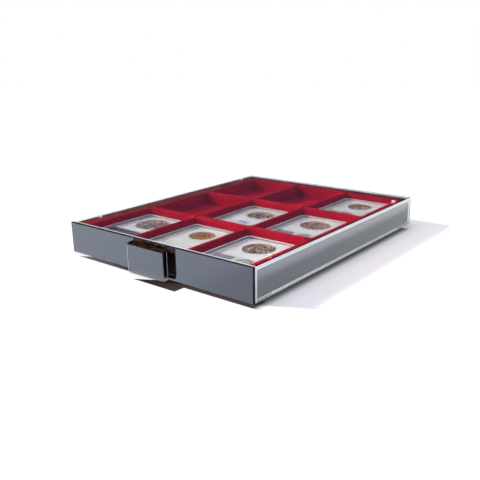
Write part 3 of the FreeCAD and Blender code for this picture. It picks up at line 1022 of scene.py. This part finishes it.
def make_floor(look):
    """Pale floor that keeps the box's cast shadow, with painted shadow near the box and a painted reflection
    for glossy rays.
    """
    bpy.ops.object.select_all(action="DESELECT")
    bpy.ops.mesh.primitive_plane_add(size=6, location=(0, 0, 0))
    floor = bpy.context.object
    floor.name = "floor"
    settle(floor)
    material, tree, output = new_material("pale_floor")
    matt = tree.nodes.new("ShaderNodeBsdfDiffuse")
    where = object_coordinates(tree)
    wire(tree, painted_shadow_colour(tree, where, tuple(look.floor_colour)), matt.inputs["Color"])
    # Painted reflection: glossy rays see the floor glow, dimmer in bands painted along X where it stands for
    # the shadow beside the box, and matt where the box covers it
    mirrored = tree.nodes.new("ShaderNodeEmission")
    set_inputs(mirrored, Color=(*look.floor_painted_reflection, 1))
    across = maths(tree, "ADD", parts_of(tree, where)["X"], MIRRORED_START)
    level = ramp(tree, maths(tree, "DIVIDE", across, MIRRORED_SPAN),
                 [(place, (part,) * 3) for place, part in MIRRORED_LEVELS])
    wire(tree, maths(tree, "MULTIPLY", level, MIRRORED_STRENGTH), mirrored.inputs["Strength"])
    covered = inside_box(tree, where, SLEEVE_LOW.xy + COVERED_MARGIN, SLEEVE_HIGH.xy - COVERED_MARGIN)
    open_floor = maths(tree, "SUBTRACT", 1.0, covered)
    shiny = maths(tree, "MULTIPLY", rays(tree, "Is Glossy Ray"), open_floor)
    wire(tree, mixed_shader(tree, shiny, matt.outputs["BSDF"], mirrored.outputs["Emission"]),
         output.inputs["Surface"])
    put_material(floor, material)


def make_world(look):
    """Soft light, most from the camera's side, seen as white and mirrored in bands."""
    world = bpy.data.worlds.new("studio")
    bpy.context.scene.world = world
    world.use_nodes = True
    tree = world.node_tree
    tree.nodes.clear()
    output = tree.nodes.new("ShaderNodeOutputWorld")
    sky = tree.nodes.new("ShaderNodeBackground")
    set_inputs(sky, Strength=look.sky_strength)
    white = tree.nodes.new("ShaderNodeBackground")
    set_inputs(white, Color=(1, 1, 1, 1), Strength=1.0)
    mirrored = tree.nodes.new("ShaderNodeBackground")
    direction = tree.nodes.new("ShaderNodeTexCoord")
    x, y, z = parts_of(tree, direction.outputs["Generated"])
    facing = maths(tree, "SUBTRACT", maths(tree, "MULTIPLY", x, 0.33), maths(tree, "MULTIPLY", y, 0.37))
    fill = [(0.0, (0.05, 0.05, 0.055)), (0.5, (0.36, 0.375, 0.4)), (1.0, (0.93, 0.95, 1.0))]
    wire(tree, ramp(tree, maths(tree, "ADD", facing, 0.5), fill), sky.inputs["Color"])
    height = [(0.0, (1, 1, 1)), (0.06, (1, 1, 1)), (0.2, (0.025, 0.025, 0.06)),
              (0.5, (0.03, 0.03, 0.07)), (0.8, (0.7, 0.7, 0.75)), (1.0, (0.9, 0.9, 0.95))]
    wire(tree, ramp(tree, z, height), mirrored.inputs["Color"])
    plain = mixed_shader(tree, pale_backdrop_factor(tree), sky.outputs["Background"],
                         white.outputs["Background"])
    wire(tree, mixed_shader(tree, rays(tree, "Is Glossy Ray"), plain, mirrored.outputs["Background"]),
         output.inputs["Surface"])


def make_lamp(name, strength, direction, width, colour):
    """Distant lamp whose light travels along a direction, and that no gloss mirrors."""
    bpy.ops.object.select_all(action="DESELECT")
    bpy.ops.object.light_add(type="SUN", location=(0, 0, 1))
    lamp = bpy.context.object
    lamp.name = name
    lamp.rotation_euler = Vector(direction).to_track_quat("-Z", "Y").to_euler()
    lamp.data.energy = strength
    lamp.data.angle = width
    lamp.data.color = colour
    lamp.visible_glossy = False


def make_camera(look):
    """Camera at the photograph's place."""
    azimuth = look.camera_azimuth
    elevation = look.camera_elevation
    back = Vector((math.sin(azimuth) * math.cos(elevation), -math.cos(azimuth) * math.cos(elevation),
                   math.sin(elevation)))
    right = Vector((0, 0, 1)).cross(back).normalized()
    up = back.cross(right)
    roll = look.camera_roll
    turned_right = right * math.cos(roll) + up * math.sin(roll)
    turned_up = up * math.cos(roll) - right * math.sin(roll)
    data = bpy.data.cameras.new("camera")
    camera = bpy.data.objects.new("camera", data)
    bpy.context.scene.collection.objects.link(camera)
    turn = Matrix((turned_right, turned_up, back)).transposed()
    place = Vector(look.camera_aim) + back * look.camera_distance
    camera.matrix_world = Matrix.Translation(place) @ turn.to_4x4()
    data.sensor_width = 36
    data.lens = look.camera_lens
    data.clip_start = 0.01
    data.clip_end = 20
    bpy.context.scene.camera = camera


class COINBOX_OT_stage(bpy.types.Operator):
    """Make the floor, the light and the camera"""
    bl_idname = "coinbox.stage"
    bl_label = "Stage"

    def execute(self, context):
        look = context.scene.stage_look
        context.scene.view_settings.view_transform = "Standard"
        make_floor(look)
        make_world(look)
        make_lamp("overhead_lamp", look.overhead_strength, *OVERHEAD_LAMP)
        make_lamp("side_lamp", look.side_strength, *SIDE_LAMP)
        make_camera(look)
        return {"FINISHED"}


class COINBOX_PT_panel(bpy.types.Panel):
    """Sidebar panel with the box's sizes, colours and operators"""
    bl_idname = "COINBOX_PT_panel"
    bl_label = "Coin Slab Storage Box"
    bl_space_type = "VIEW_3D"
    bl_region_type = "UI"
    bl_category = "Coin Box"

    def draw(self, context):
        layout = self.layout
        for group in GROUPS:
            values = getattr(context.scene, group)
            column = layout.column(align=True)
            for name in values.bl_rna.properties.keys():
                if name not in ("rna_type", "name"):
                    column.prop(values, name)
        for operator in OPERATORS:
            layout.operator(operator.bl_idname)


GROUPS = {"box_look": BoxLook, "insert_shape": InsertShape, "coin_shape": CoinShape,
          "stage_look": StageLook}
OPERATORS = (COINBOX_OT_plastics, COINBOX_OT_insert, COINBOX_OT_coins, COINBOX_OT_stage)


def register():
    for name, group in GROUPS.items():
        bpy.utils.register_class(group)
        setattr(bpy.types.Scene, name, PointerProperty(type=group))
    for operator in OPERATORS:
        bpy.utils.register_class(operator)
    bpy.utils.register_class(COINBOX_PT_panel)


def unregister():
    bpy.utils.unregister_class(COINBOX_PT_panel)
    for operator in reversed(OPERATORS):
        bpy.utils.unregister_class(operator)
    for name, group in reversed(GROUPS.items()):
        delattr(bpy.types.Scene, name)
        bpy.utils.unregister_class(group)


def main():
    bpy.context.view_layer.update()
    register()
    bpy.ops.coinbox.plastics()
    bpy.ops.coinbox.insert()
    bpy.ops.coinbox.coins()
    bpy.ops.coinbox.stage()


if __name__ == "__main__":
    main()
